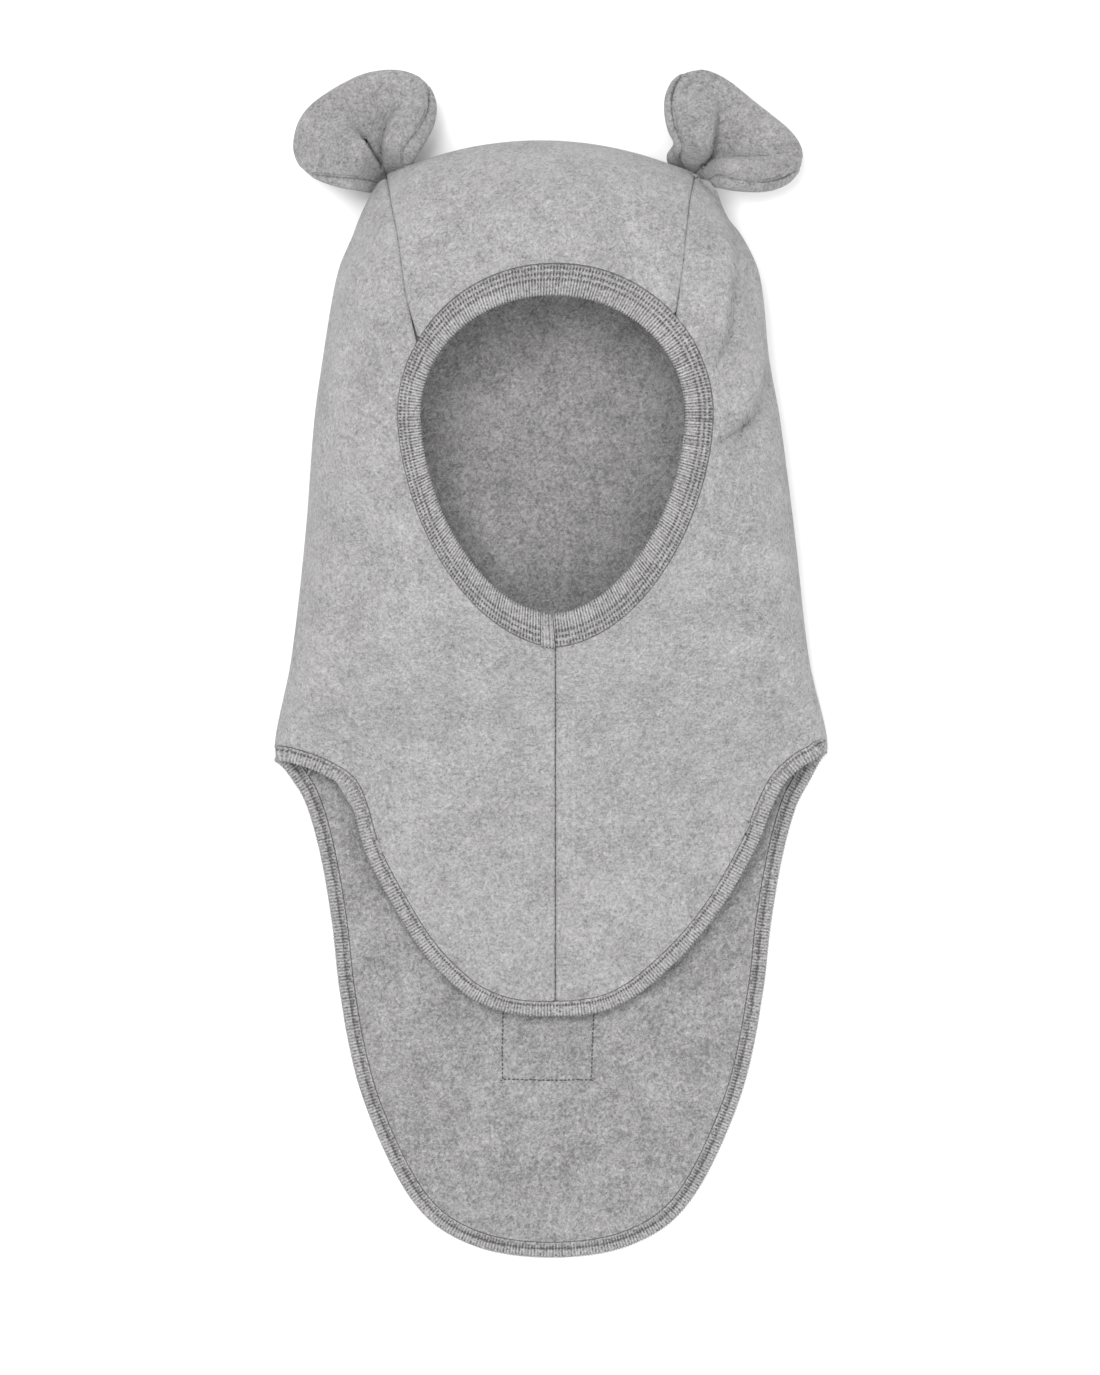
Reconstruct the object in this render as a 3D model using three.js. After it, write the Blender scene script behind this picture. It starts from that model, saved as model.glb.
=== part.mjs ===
// A baby's balaclava with ears, cut from thick wool fleece and lying flat on its back.
//
// A centre panel runs from the forehead over the crown and widens down the back into a long flap. Two
// side panels wrap the cheeks and meet in a seam under the chin, where they form the front bib. A
// ribbed band binds the face opening, a narrower binding follows the whole lower edge, and each ear is
// two layers of fleece pinched together at the root.
//
// Millimetres. +X is the wearer's left, +Y the crown, +Z up, away from what the hat lies on. Tables
// give y from the middle of the hat's length, and left and right are the wearer's.
import * as THREE from 'three';

// Driving dimensions.
const CLOTH = 2.6; // thickness of the fleece
const GAP = 0.8; // kept between neighbouring pieces
const CROWN = { y: 219, x: -4.5, half: 64.2, drop: 13.7, roll: 30 }; // drop: how much lower it is at the ears
const FACE_BAND = 3.6; // thickness of the doubled ribbing round the face
const LAP = { left: 1.6, right: -4.2, thickness: 4.6 }; // where the ends of the face band are joined
const CHIN_SEAM_X = 1.7;
const HEM_WIDTH = 6.8;

// Half-widths of the flattened tube over its side folds. Below the shoulders it is cut open there.
const SIDE_FOLDS = [
  { y: -150, left: 118, right: 118 },
  { y: -38, left: 116.5, right: 116.5 },
  { y: 2, left: 108, right: 109 },
  { y: 53, left: 102, right: 103 },
  { y: 103, left: 96, right: 99 },
  { y: 128, left: 92, right: 95.5 },
  { y: 153, left: 88, right: 91.5 },
  { y: 179, left: 79.5, right: 83 },
  { y: 195, left: 69, right: 76 },
  { y: 204, left: 61, right: 70 },
];

// Heights of the upper layer along the middle (crest) and near the fold (side), the height of the fold
// itself, and how far in from the outline the cloth rolls over.
const DEPTHS = [
  { y: -150, crest: 9, side: 8, fold: 5.5, roll: 5 },
  { y: -90, crest: 14, side: 9, fold: 5.5, roll: 5 },
  { y: -38, crest: 25, side: 11, fold: 6, roll: 6 },
  { y: 0, crest: 43, side: 26, fold: 13, roll: 13 },
  { y: 40, crest: 56, side: 39, fold: 19, roll: 20 },
  { y: 104, crest: 66, side: 49, fold: 24, roll: 26 },
  { y: 160, crest: 66, side: 49, fold: 25, roll: 26 },
  { y: 219, crest: 58, side: 46, fold: 25, roll: 24 },
];

// Both edges of the face band: half-width, and reach above and below the widest level.
const FACE_LEVEL = 104;
const FACE_INNER = { x: 0.6, half: 55, above: 49, below: 83 };
const FACE_OUTER = { x: 1.7, half: 65.5, above: 62.5, below: 96.5 };
const FACE_POINTEDNESS = 1.8; // 2 would be a half ellipse below that level

// Seams between the centre panel and the side panels: over the forehead, from the face band to the
// crown, and down the back, as distances from the middle.
const FOREHEAD_SEAMS = {
  left: [[52, 143], [54.6, 166], [56, 180], [57.5, 193], [59.7, 204]],
  right: [[-56, 140], [-60.5, 154], [-63.5, 176], [-66, 189], [-68.7, 204]],
};
const BACK_SEAM = [[64.2, 204], [62, 180], [60, 120], [60, 60], [66, 22], [84, -8]];

// The lower edge: across the bib from its lowest point to each shoulder, and round the flap from a
// shoulder to its lowest point.
const BIB_EDGES = {
  left: [[1.7, -147.4], [14, -146.7], [26, -143.8], [40, -135.5], [58, -118.5], [73, -99], [86, -76],
    [92, -60.8], [97.5, -50], [104.5, -43.2], [111, -39.5], [115.3, -37.5]],
  right: [[1.7, -147.4], [-12, -147], [-24, -144.3], [-37, -137.5], [-53, -121.7], [-67, -99.5],
    [-77.5, -79.5], [-82.7, -61.5], [-87, -52], [-95.3, -46.2], [-106, -42], [-115.3, -41]],
};
const FLAP_EDGE = [[107.5, -50.5], [103, -59], [99, -72], [95.5, -88], [92, -110], [88.5, -140],
  [79, -182.6], [58.5, -225], [34, -243.5], [0, -249]];

// Folds in the upper layer at the wearer's left, with a soft ridge, or a valley where height is
// negative.
const CREASES = [
  { path: [[64, 198], [77, 174], [82, 149], [79, 124], [73, 110]], height: 2.2, width: 7 },
  { path: [[84, 166], [88, 150], [87, 132], [81, 115]], height: -2.4, width: 6 },
  { path: [[91, 130], [90, 117], [86, 105], [79, 94], [69, 82]], height: 3, width: 5 },
  { path: [[95, 118], [94, 104], [86, 92], [76, 80]], height: -2.2, width: 6 },
];

// Ears: where they are pinched, and the outline from the crown side round to the lower side.
const EARS = {
  left: {
    root: [60.2, 206],
    outline: [[52, 214.5], [48, 226], [48, 238], [54, 247], [61, 249], [70, 247.5], [82, 240],
      [94, 230], [103, 219], [105, 210], [100, 202.5], [90, 198], [80, 197.5], [71, 199.5]],
  },
  right: {
    root: [-69.2, 206],
    outline: [[-57, 213.5], [-52, 219], [-48, 231], [-49.5, 240], [-58, 247], [-68, 249], [-80, 247],
      [-93, 240.5], [-104, 232], [-108, 220], [-105, 209], [-96, 202], [-86, 198.5], [-79, 198.5]],
  },
};
const EAR = {
  height: 19, // of the root
  droop: 7, // from root to rim
  rise: 7, // of the side lobes
  valley: 6, // between the lobes
  half: 4.6, // half the thickness of both layers
};

// Stations along the edges that neighbouring pieces share.
const BACK_ROWS = 24; // down the back seam
const FACE_ROWS = 15; // of which beside the face, the others beside the chin seam
const SEAM_STEPS = 18; // up a forehead seam
const BROW_STEPS = 10; // across the forehead
const HEM_STEPS = 2; // from one point of the lower edge to the next
const SEAM_ON_FLAP = 1; // the back seam ends this many points past the shoulder
const NECK_ROW = 21; // where the centre panel is parted, counted down the back from the crown

const mix = THREE.MathUtils.lerp;
const steps = (count, place) => Array.from({ length: count + 1 }, (_, i) => place(i / count));
const spline = (points) => new THREE.SplineCurve(points.map(([x, y]) => new THREE.Vector2(x, y)));

// A smooth function of y through one column of a table.
function column(table, key) {
  const last = table.length - 1;
  const slopes = table.map((_, i) => {
    const [before, after] = [table[Math.max(i - 1, 0)], table[Math.min(i + 1, last)]];
    return (after[key] - before[key]) / (after.y - before.y);
  });
  return (y) => {
    if (y <= table[0].y) return table[0][key];
    if (y >= table[last].y) return table[last][key];
    const i = table.findIndex((row) => row.y > y) - 1;
    const [low, high] = [table[i], table[i + 1]];
    const span = high.y - low.y;
    const t = (y - low.y) / span;
    const rest = 1 - t;
    return rest * rest * ((1 + 2 * t) * low[key] + t * span * slopes[i])
      + t * t * ((1 + 2 * rest) * high[key] - rest * span * slopes[i + 1]);
  };
}

// ---- The shape of the cloth ----

// The outline is that of the outside, so the middle of the cloth stays half its thickness in from it.
const leftFold = column(SIDE_FOLDS, 'left');
const rightFold = column(SIDE_FOLDS, 'right');
const middle = (y) => (leftFold(y) - rightFold(y)) / 2;
const halfWidth = (y) => (leftFold(y) + rightFold(y) - CLOTH) / 2;
const crest = column(DEPTHS, 'crest');
const side = column(DEPTHS, 'side');
const fold = column(DEPTHS, 'fold');
const roll = column(DEPTHS, 'roll');
const crownEdge = (x) => CROWN.y - CLOTH / 2 - CROWN.drop * ((x - CROWN.x) / CROWN.half) ** 2;

// 0 on the outline, rising along a quarter circle to 1 at a distance of radius from it.
function rounded(distance, radius) {
  const out = 1 - THREE.MathUtils.clamp(distance / radius, 0, 1);
  return Math.sqrt(1 - out * out);
}

const creaseLines = CREASES.map(({ path }) => spline(path).getPoints(16));
function creases(x, y) {
  const point = new THREE.Vector2(x, y);
  return CREASES.reduce((sum, { height, width }, i) => {
    const near = Math.min(...creaseLines[i].map((other) => other.distanceTo(point)));
    return sum + height * Math.exp(-((near / width) ** 2));
  }, 0);
}

// The middle of the thickness of the upper layer, over a point of the plan.
function upper(x, y) {
  const across = (x - middle(y)) / halfWidth(y);
  const over = rounded(crownEdge(x) - y, CROWN.roll);
  const rim = over * rounded(halfWidth(y) * (1 - Math.abs(across)), roll(y));
  const dome = (crest(y) - side(y)) * (1 - across * across) * over;
  return new THREE.Vector3(x, y, mix(fold(y), side(y), rim) + dome + creases(x, y) * rim);
}

// The same for the lower layer, which lies flat and rolls up to the folds.
function lower(x, y) {
  const across = (x - middle(y)) / halfWidth(y);
  const over = rounded(crownEdge(x) - y, roll(y));
  const rim = over * rounded(halfWidth(y) * (1 - Math.abs(across)), roll(y));
  return new THREE.Vector3(x, y, mix(fold(y), CLOTH / 2, rim));
}

// Half of the tube is also measured by the turn round it, which is 0 in the middle of the front, 1 on
// the side fold and 2 in the middle of the back. hand is 1 for the wearer's left and -1 for the right.
function turned({ x: turn, y }, hand) {
  const x = middle(y) + hand * halfWidth(y) * Math.sin((turn * Math.PI) / 2);
  return turn <= 1 ? upper(x, y) : lower(x, y);
}

// The turn at a distance across the front from its middle, or on across the back beyond the fold.
function turnAt(distance, y) {
  const past = distance > halfWidth(y);
  const onLayer = past ? 2 * halfWidth(y) - distance : distance;
  const turn = (Math.asin(THREE.MathUtils.clamp(onLayer / halfWidth(y), -1, 1)) * 2) / Math.PI;
  return new THREE.Vector2(past ? 2 - turn : turn, y);
}

const onFront = (x, y, hand) => turnAt(hand * (x - middle(y)), y);
const onBack = (distance, y) => turnAt(2 * halfWidth(y) - distance, y);

// ---- Edges that the pieces share ----

// A point of an edge of the face opening. The angle is 0 at the wearer's left and a quarter turn on top.
function faceEdge({ x, half, above, below }, angle) {
  const [c, s] = [Math.cos(angle), Math.sin(angle)];
  if (s >= 0) return [x + half * c, FACE_LEVEL + above * s];
  const power = 2 / FACE_POINTEDNESS;
  return [x + half * Math.sign(c) * Math.abs(c) ** power, FACE_LEVEL - below * (-s) ** power];
}

// The angle at which the outer edge of the face band stands over x, on its upper or lower half.
function faceAngle(x, onTop) {
  let [low, high] = onTop ? [0, Math.PI] : [-Math.PI, 0];
  for (let i = 0; i < 40; i++) {
    const half = (low + high) / 2;
    if (faceEdge(FACE_OUTER, half)[0] > x === onTop) low = half;
    else high = half;
  }
  return low;
}

const { half, above, below } = FACE_OUTER;
const FACE_HOLE = { x: FACE_OUTER.x, half: half + GAP, above: above + GAP, below: below + GAP };
const chinAngle = faceAngle(CHIN_SEAM_X, false);
const junction = { 1: faceAngle(FOREHEAD_SEAMS.left[0][0], true), [-1]: faceAngle(FOREHEAD_SEAMS.right[0][0], true) };

// Angles from a forehead seam down beside the face to the chin seam, and across the forehead.
const cheekAngles = (hand) => {
  const chin = hand > 0 ? chinAngle : chinAngle + 2 * Math.PI;
  return steps(FACE_ROWS, (s) => mix(junction[hand], chin, s));
};
const browAngles = steps(BROW_STEPS, (s) => mix(junction[-1], junction[1], s));

// A forehead seam, moved away from the middle, from the face opening to the crown.
function foreheadSeam(hand, away) {
  const [, ...rest] = FOREHEAD_SEAMS[hand > 0 ? 'left' : 'right'];
  const points = [faceEdge(FACE_HOLE, junction[hand]), ...rest];
  const curve = spline(points.map(([x, y]) => [x + hand * away, y]));
  return steps(SEAM_STEPS, (s) => curve.getPointAt(Math.sin((s * Math.PI) / 2)));
}

// The lower edge on one side, as distances across the front and on across the back, moved into the
// cloth by inward.
function hem(hand, inward) {
  const bib = BIB_EDGES[hand > 0 ? 'left' : 'right'].map(([x, y]) => [hand * (x - middle(y)), y]);
  const flap = FLAP_EDGE.map(([x, y]) => [2 * halfWidth(y) - x, y]);
  const curve = spline([...bib, ...flap]);
  return steps((bib.length + flap.length - 1) * HEM_STEPS, (t) => {
    const tangent = curve.getTangent(t);
    const point = curve.getPoint(t);
    return new THREE.Vector2(point.x - tangent.y * inward, point.y + tangent.x * inward);
  });
}
const PANEL_HEMS = { 1: hem(1, HEM_WIDTH + 1.5 * GAP), [-1]: hem(-1, HEM_WIDTH + 1.5 * GAP) };
const SHOULDER = (BIB_EDGES.left.length - 1) * HEM_STEPS;
const SEAM_END = SHOULDER + SEAM_ON_FLAP * HEM_STEPS;

// The seam down one side of the back, as distances from the middle, moved by away. It starts a little
// below the ear.
function backSeam(hand, away) {
  const end = PANEL_HEMS[hand][SEAM_END];
  const points = [...BACK_SEAM, [2 * halfWidth(end.y) - end.x, end.y]];
  const curve = spline(points.map(([distance, y]) => [distance + away, y]));
  return steps(BACK_ROWS, (s) => curve.getPointAt(mix(0.02, 1, s ** 1.3)));
}

// ---- Solids ----

// A grid of points filled in between four edges: left and right have a point for each row, first and
// last one for each column.
function filled(left, right, first, last) {
  const [rows, columns] = [left.length - 1, first.length - 1];
  return left.map((_, i) => first.map((__, j) => {
    const [s, t] = [i / rows, j / columns];
    const point = left[i].clone().multiplyScalar(1 - t).addScaledVector(right[i], t);
    point.addScaledVector(first[j], 1 - s).addScaledVector(last[j], s);
    point.addScaledVector(first[0], -(1 - s) * (1 - t)).addScaledVector(first[columns], -(1 - s) * t);
    return point.addScaledVector(last[0], -s * (1 - t)).addScaledVector(last[columns], -s * t);
  }));
}

// A closed body from its points and triangles, which are turned to face out.
function solid(points, triangles) {
  const volume = triangles.reduce((sum, [a, b, c]) => (
    sum + points[a].dot(points[b].clone().cross(points[c]))), 0);
  const geometry = new THREE.BufferGeometry().setFromPoints(points);
  geometry.setIndex(triangles.flatMap(([a, b, c]) => (volume > 0 ? [a, b, c] : [a, c, b])));
  return geometry;
}

// Two triangles for each cell of a grid of point numbers.
function cells(rows, columns, at) {
  const triangles = [];
  for (let i = 0; i < rows; i++) {
    for (let j = 0; j < columns; j++) {
      const [a, b, c, d] = [at(i, j), at(i, j + 1), at(i + 1, j + 1), at(i + 1, j)];
      triangles.push([a, b, c], [a, c, d]);
    }
  }
  return triangles;
}

// A grid of points in the middle of a cloth, thickened to a closed wall.
function wall(grid) {
  const [rows, columns] = [grid.length - 1, grid[0].length - 1];
  const points = grid.flat();
  const at = (i, j) => i * (columns + 1) + j;
  const front = cells(rows, columns, at);
  const sheet = new THREE.BufferGeometry().setFromPoints(points);
  sheet.setIndex(front.flat());
  sheet.computeVertexNormals();
  const normals = points.map((_, i) => (
    new THREE.Vector3().fromBufferAttribute(sheet.getAttribute('normal'), i)));
  const shifted = (amount) => points.map((point, i) => point.clone().addScaledVector(normals[i], amount));

  const count = points.length;
  const back = front.map(([a, b, c]) => [c + count, b + count, a + count]);
  const border = [
    ...steps(columns, (s) => at(0, Math.round(s * columns))),
    ...steps(rows, (s) => at(Math.round(s * rows), columns)).slice(1),
    ...steps(columns, (s) => at(rows, Math.round((1 - s) * columns))).slice(1),
    ...steps(rows, (s) => at(Math.round((1 - s) * rows), 0)).slice(1, -1),
  ];
  const rim = border.flatMap((a, k) => {
    const b = border[(k + 1) % border.length];
    return [[b, a, a + count], [b, a + count, b + count]];
  });
  return solid([...shifted(CLOTH / 2), ...shifted(-CLOTH / 2)], [...front, ...back, ...rim]);
}

// Rings of points joined one to the next, into a closed loop or with a flat shape to close both ends.
function loft(rings, endShape) {
  const size = rings[0].length;
  const joins = endShape ? rings.length - 1 : rings.length;
  const at = (i, j) => (i % rings.length) * size + (j % size);
  const triangles = cells(joins, size, at);
  if (endShape) {
    const clockwise = THREE.ShapeUtils.isClockWise(endShape);
    for (const corners of THREE.ShapeUtils.triangulateShape(endShape, [])) {
      const [a, b, c] = clockwise ? corners.reverse() : corners;
      triangles.push([c, b, a], [at(joins, a), at(joins, b), at(joins, c)]);
    }
  }
  return solid(rings.flat(), triangles);
}

// A flat band between two edges on the cloth, with its second edge rounded off.
const BAND_SECTION = [[0, -0.5], [0, 0.5], [0.8, 0.5], [1, 0.2], [1, -0.2], [0.8, -0.5]];
function band(edges, thickness, closed) {
  const count = edges.length;
  const rings = edges.map(([inner, outer], i) => {
    const before = edges[closed ? (i + count - 1) % count : Math.max(i - 1, 0)];
    const after = edges[closed ? (i + 1) % count : Math.min(i + 1, count - 1)];
    const along = after[0].clone().add(after[1]).sub(before[0]).sub(before[1]);
    const across = outer.clone().sub(inner);
    const normal = along.cross(across).normalize();
    return BAND_SECTION.map(([share, lift]) => (
      inner.clone().addScaledVector(across, share).addScaledVector(normal, lift * thickness)));
  });
  const section = BAND_SECTION.map(([share, lift]) => new THREE.Vector2(share, lift));
  return loft(rings, closed ? null : section);
}

// ---- Panels ----

function sidePanel(hand) {
  const seam = foreheadSeam(hand, GAP / 2);
  const back = backSeam(hand, -GAP / 2).map(({ x, y }) => onBack(x + GAP, y));
  const edge = PANEL_HEMS[hand].slice(0, SEAM_END + 1).map(({ x, y }) => turnAt(x, y));
  edge[0] = onFront(CHIN_SEAM_X + (hand * GAP) / 2, edge[0].y, hand);
  edge[SEAM_END] = back[BACK_ROWS];

  const cheek = cheekAngles(hand).map((angle) => faceEdge(FACE_HOLE, angle));
  cheek[0] = [seam[0].x, seam[0].y];
  cheek[FACE_ROWS][0] = CHIN_SEAM_X + (hand * GAP) / 2;
  const face = cheek.map(([x, y]) => onFront(x, y, hand));
  const chin = steps(BACK_ROWS - FACE_ROWS, (s) => face[FACE_ROWS].clone().lerp(edge[0], s)).slice(1);

  const forehead = seam.slice(0, -3).map(({ x, y }) => onFront(x, y, hand));
  const underEar = steps(SEAM_END - forehead.length + 1, (s) => forehead.at(-1).clone().lerp(back[0], s));
  const grid = filled([...face, ...chin], back, [...forehead, ...underEar.slice(1)], edge);
  return wall(grid.map((row) => row.map((point) => turned(point, hand))));
}

// The panel is one cloth. Its body is parted across the neck, with a gap, so that the part round the
// head and the flat flap below it are two simple shapes.
function centrePanel() {
  const [left, right] = [foreheadSeam(1, -GAP / 2), foreheadSeam(-1, -GAP / 2)];
  const brow = browAngles.map((angle) => new THREE.Vector2(...faceEdge(FACE_HOLE, angle)));
  [brow[0], brow[BROW_STEPS]] = [right[0], left[0]];
  const crown = steps(BROW_STEPS, (t) => {
    const x = mix(right[SEAM_STEPS].x, left[SEAM_STEPS].x, t);
    return new THREE.Vector2(x, crownEdge(x));
  });
  const forehead = filled(right, left, brow, crown).map((row) => row.map(({ x, y }) => upper(x, y)));

  const END = 5; // stations of the hem on each side of its middle that make the end of the flap
  const [leftEdge, rightEdge] = [1, -1].map((hand) => {
    const seam = backSeam(hand, -GAP / 2);
    const flap = PANEL_HEMS[hand].slice(SEAM_END + 1);
    const inPlan = flap.map(({ x, y }) => new THREE.Vector2(2 * halfWidth(y) - x, y));
    return [...seam, ...inPlan].map(({ x, y }) => new THREE.Vector2(middle(y) + hand * x, y));
  });
  const rows = leftEdge.length - END;
  const end = [...rightEdge.slice(rows - 1, -1), ...leftEdge.slice(rows - 1).reverse()];
  const back = filled(
    [crown[0], ...rightEdge.slice(0, rows)],
    [crown[BROW_STEPS], ...leftEdge.slice(0, rows)],
    crown,
    end,
  );
  const onTable = (row, moved) => row.map(({ x, y }) => lower(x, y + moved));
  const aboveNeck = back.slice(1, NECK_ROW).map((row) => onTable(row, 0));
  const belowNeck = back.slice(NECK_ROW + 1).map((row) => onTable(row, 0));
  return [
    wall([...forehead, ...aboveNeck, onTable(back[NECK_ROW], GAP / 2)]),
    wall([onTable(back[NECK_ROW], -GAP / 2), ...belowNeck]),
  ];
}

// ---- Bands ----

const onFaceBand = (angle) => [FACE_OUTER, FACE_INNER].map((edge) => upper(...faceEdge(edge, angle)));

function faceBand() {
  const from = faceAngle(LAP.left + GAP, false);
  const to = faceAngle(LAP.right - GAP, false) + 2 * Math.PI;
  const angles = [
    ...cheekAngles(1).reverse(),
    ...browAngles.slice(1, -1).reverse(),
    ...cheekAngles(-1),
  ].filter((angle) => angle > from + 0.01 && angle < to - 0.01);
  return band([from, ...angles, to].map(onFaceBand), FACE_BAND, false);
}

function faceBandLap() {
  const [from, to] = [faceAngle(LAP.right, false), faceAngle(LAP.left, false)];
  return band(steps(2, (s) => onFaceBand(mix(from, to, s))), LAP.thickness, false);
}

function hemBinding() {
  const [left, right] = [1, -1].map((hand) => {
    const [outer, inner] = [hem(hand, 0), hem(hand, HEM_WIDTH)];
    return outer.map((_, i) => [inner[i], outer[i]].map(({ x, y }) => turned(turnAt(x, y), hand)));
  });
  return band([...left, ...right.slice(1, -1).reverse()], CLOTH, true);
}

// ---- Ears ----

// One layer of an ear, in sections along rays from its root. The seam between the layers is on the
// rim at the far end, and comes on to the front towards the root.
function earLayer({ root, outline }, isFront) {
  const edge = spline(outline);
  const [rootX, rootY] = root;
  const sections = steps(16, (theta) => {
    const tip = edge.getPointAt(theta).sub(new THREE.Vector2(rootX, rootY));
    const beside = Math.abs(2 * theta - 1);
    const level = (reach) => {
      const bump = Math.sin(Math.PI * reach ** 0.7);
      const lobes = EAR.rise * beside * beside - EAR.valley * Math.exp(-((beside / 0.4) ** 2));
      return EAR.height - EAR.droop * reach + bump * lobes;
    };
    const skin = (turn) => {
      const reach = mix(0.08, 1, Math.sin(Math.PI * turn));
      const thick = Math.min(EAR.half, 0.3 * tip.length()) * Math.min(1, 0.5 + reach);
      return [reach, level(reach) + thick * Math.cos(Math.PI * turn)];
    };
    const seam = 0.5 - 0.13 * THREE.MathUtils.smoothstep(beside, 0.35, 0.8);
    const open = 0.05;
    const outside = steps(6, (s) => skin(isFront ? s * (seam - open) : mix(1, seam + open, s)));
    const inside = [0.9, 0.6, 0.3, 0.08].map((reach) => (
      [reach, level(reach) + (isFront ? 0.8 * GAP : -0.8 * GAP)]));
    return [...outside, ...inside].map(([reach, z]) => (
      { reach, point: new THREE.Vector3(rootX + tip.x * reach, rootY + tip.y * reach, z) }));
  });
  const endShape = sections[0].map(({ reach, point }) => new THREE.Vector2(20 * reach, point.z));
  return loft(sections.map((section) => section.map(({ point }) => point)), endShape);
}

// ---- Assembly ----

const fleece = new THREE.MeshStandardMaterial({ color: '#b7b5b6', roughness: 0.95, metalness: 0 });
const ribbing = new THREE.MeshStandardMaterial({ color: '#b2b0b1', roughness: 0.9, metalness: 0 });

const hat = new THREE.Group();
function add(name, geometry, material) {
  const mesh = new THREE.Mesh(geometry, material);
  mesh.name = name;
  hat.add(mesh);
}
const [aroundHead, backFlap] = centrePanel();
add('centre_panel', aroundHead, fleece);
add('back_flap', backFlap, fleece);
add('side_panel_left', sidePanel(1), fleece);
add('side_panel_right', sidePanel(-1), fleece);
add('face_band', faceBand(), ribbing);
add('face_band_lap', faceBandLap(), ribbing);
add('hem_binding', hemBinding(), ribbing);
for (const [name, ear] of Object.entries(EARS)) {
  add(`ear_${name}_front`, earLayer(ear, true), fleece);
  add(`ear_${name}_back`, earLayer(ear, false), fleece);
}

const box = new THREE.Box3().setFromObject(hat);
const centre = box.getCenter(new THREE.Vector3());
hat.position.set(-centre.x, -centre.y, -box.min.z);

export default hat;
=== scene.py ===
"""A baby's balaclava with ears, in thick brushed wool fleece, laid flat on its back."""

import bpy
import numpy as np
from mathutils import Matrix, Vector


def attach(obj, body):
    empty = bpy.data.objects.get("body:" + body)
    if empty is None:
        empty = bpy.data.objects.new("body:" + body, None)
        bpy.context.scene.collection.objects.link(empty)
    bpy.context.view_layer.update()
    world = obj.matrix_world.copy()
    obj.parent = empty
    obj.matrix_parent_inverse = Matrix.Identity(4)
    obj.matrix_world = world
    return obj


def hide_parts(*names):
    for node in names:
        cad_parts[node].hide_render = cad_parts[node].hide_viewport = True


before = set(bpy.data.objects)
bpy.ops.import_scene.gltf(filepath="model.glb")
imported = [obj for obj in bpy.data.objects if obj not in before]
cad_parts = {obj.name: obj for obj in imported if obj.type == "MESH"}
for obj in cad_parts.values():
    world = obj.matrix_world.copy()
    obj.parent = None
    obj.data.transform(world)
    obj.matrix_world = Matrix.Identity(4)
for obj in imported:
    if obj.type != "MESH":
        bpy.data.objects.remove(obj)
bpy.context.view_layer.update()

# ---- Centre panel ----
# One strip of fleece from the forehead over the crown and down the back of the head, where it widens
# into the back flap. It is cut in one piece, 2.6 mm thick with its brushed pile, and sewn to the side
# panels from inside. Sizes in this file are in millimetres, with y from the middle of the hat.

FLEECE = 2.6
CROWN = {"y": 217.7, "x": -4.5, "half": 64.2, "drop": 13.7, "roll": 30}


def table(columns, rows):
    return dict(zip(columns, np.array(rows, float).T))


FOLDS = table(("y", "left", "right"), [  # half-widths of the flattened tube, over its side folds
    (-150, 118, 118), (-38, 116.5, 116.5), (2, 108, 109), (53, 102, 103), (103, 95.5, 99),
    (128, 91, 95.5), (153, 88.6, 91.5), (166, 86, 88.5), (179, 79.4, 83), (185, 74.6, 80.8),
    (190, 72, 78.6), (197, 69.4, 75), (204, 65.5, 70),
])
DEPTHS = table(("y", "crest", "side", "fold", "roll"), [  # heights of the upper layer and the folds
    (-150, 9, 8, 5.5, 5), (-90, 14, 9, 5.5, 5), (-38, 25, 11, 6, 6), (0, 43, 26, 13, 13),
    (40, 56, 39, 19, 20), (104, 66, 49, 24, 26), (160, 66, 49, 25, 26), (219, 58, 46, 25, 24),
])


def smooth(at, knots, values):
    """A smooth curve through values at rising knots, level beyond them."""
    knots, values = np.asarray(knots, float), np.asarray(values, float)
    slopes = np.empty_like(values)
    slopes[1:-1] = (values[2:] - values[:-2]) / (knots[2:] - knots[:-2])
    slopes[[0, -1]] = (values[1] - values[0]) / (knots[1] - knots[0]), (
        (values[-1] - values[-2]) / (knots[-1] - knots[-2]))
    at = np.clip(at, knots[0], knots[-1])
    i = np.clip(np.searchsorted(knots, at) - 1, 0, len(knots) - 2)
    span = knots[i + 1] - knots[i]
    t = (at - knots[i]) / span
    rest = 1 - t
    return (rest**2 * ((1 + 2 * t) * values[i] + t * span * slopes[i])
            + t**2 * ((1 + 2 * rest) * values[i + 1] - rest * span * slopes[i + 1]))


def middle(y):
    return (smooth(y, FOLDS["y"], FOLDS["left"]) - smooth(y, FOLDS["y"], FOLDS["right"])) / 2


def half_width(y):
    return (smooth(y, FOLDS["y"], FOLDS["left"]) + smooth(y, FOLDS["y"], FOLDS["right"]) - FLEECE) / 2


def depth(y, column):
    return smooth(y, DEPTHS["y"], DEPTHS[column])


def crown_edge(x):
    return CROWN["y"] - CROWN["drop"] * ((x - CROWN["x"]) / CROWN["half"]) ** 2


def rounded(distance, radius):
    """0 at the outline, rising along a quarter circle to 1 at radius in from it."""
    out = 1 - np.clip(distance / radius, 0, 1)
    return np.sqrt(1 - out**2)


def line_through(points, per_point=24):
    """A smooth line through a few points, finely divided."""
    points = np.array(points, float)
    at = np.linspace(0, len(points) - 1, (len(points) - 1) * per_point + 1)
    return np.column_stack([smooth(at, np.arange(len(points)), column) for column in points.T])


def at_shares(line, shares):
    """The points of a line at shares of its length."""
    length = np.concatenate([[0], np.cumsum(np.linalg.norm(np.diff(line, axis=0), axis=1))])
    return np.column_stack([np.interp(shares * length[-1], length, column) for column in line.T])


# Soft waves left in the cloth: length, height, direction and start of each.
rng = np.random.default_rng(7)
WAVES = [(length, height, rng.uniform(0, np.pi), rng.uniform(0, 6.28))
         for length, height in ((74, 0.7), (61, 0.5), (43, 0.4), (38, 0.35), (27, 0.22), (23, 0.2))]


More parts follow.
